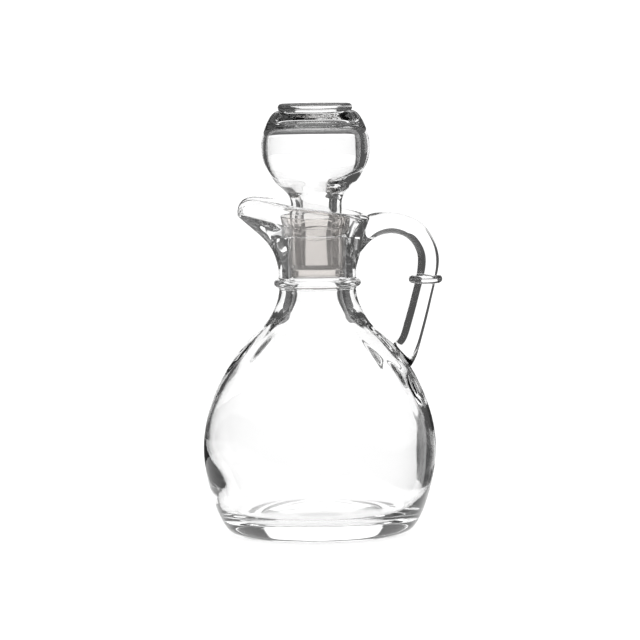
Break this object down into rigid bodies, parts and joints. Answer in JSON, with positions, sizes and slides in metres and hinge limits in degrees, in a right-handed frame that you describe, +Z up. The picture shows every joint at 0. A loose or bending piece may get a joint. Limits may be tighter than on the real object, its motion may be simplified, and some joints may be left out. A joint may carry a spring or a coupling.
{
  "type": "oil and vinegar cruet",
  "caption": "Clear glass cruet: pear body, flared neck with pouring lip, side handle with a collar, hollow ball stopper in a thin plastic sleeve; empty.",
  "frame": {"origin": "middle of the overall footprint, at the level of the standing ring; the turned axis of body, neck and stopper is at x = -1.4 mm", "axes": "+Z up along the turned axis, -X towards the pouring lip, +X towards the handle"},
  "size_m": [0.0833, 0.0804, 0.1491],
  "materials": {
    "clear_glass": "clear polished pressed glass",
    "milky_plastic": "thin translucent milky plastic, satin"
  },
  "bodies": {
    "root": {"glass_body": "clear_glass", "stopper": "clear_glass", "stopper_sleeve": "milky_plastic"}
  },
  "joints": []
}
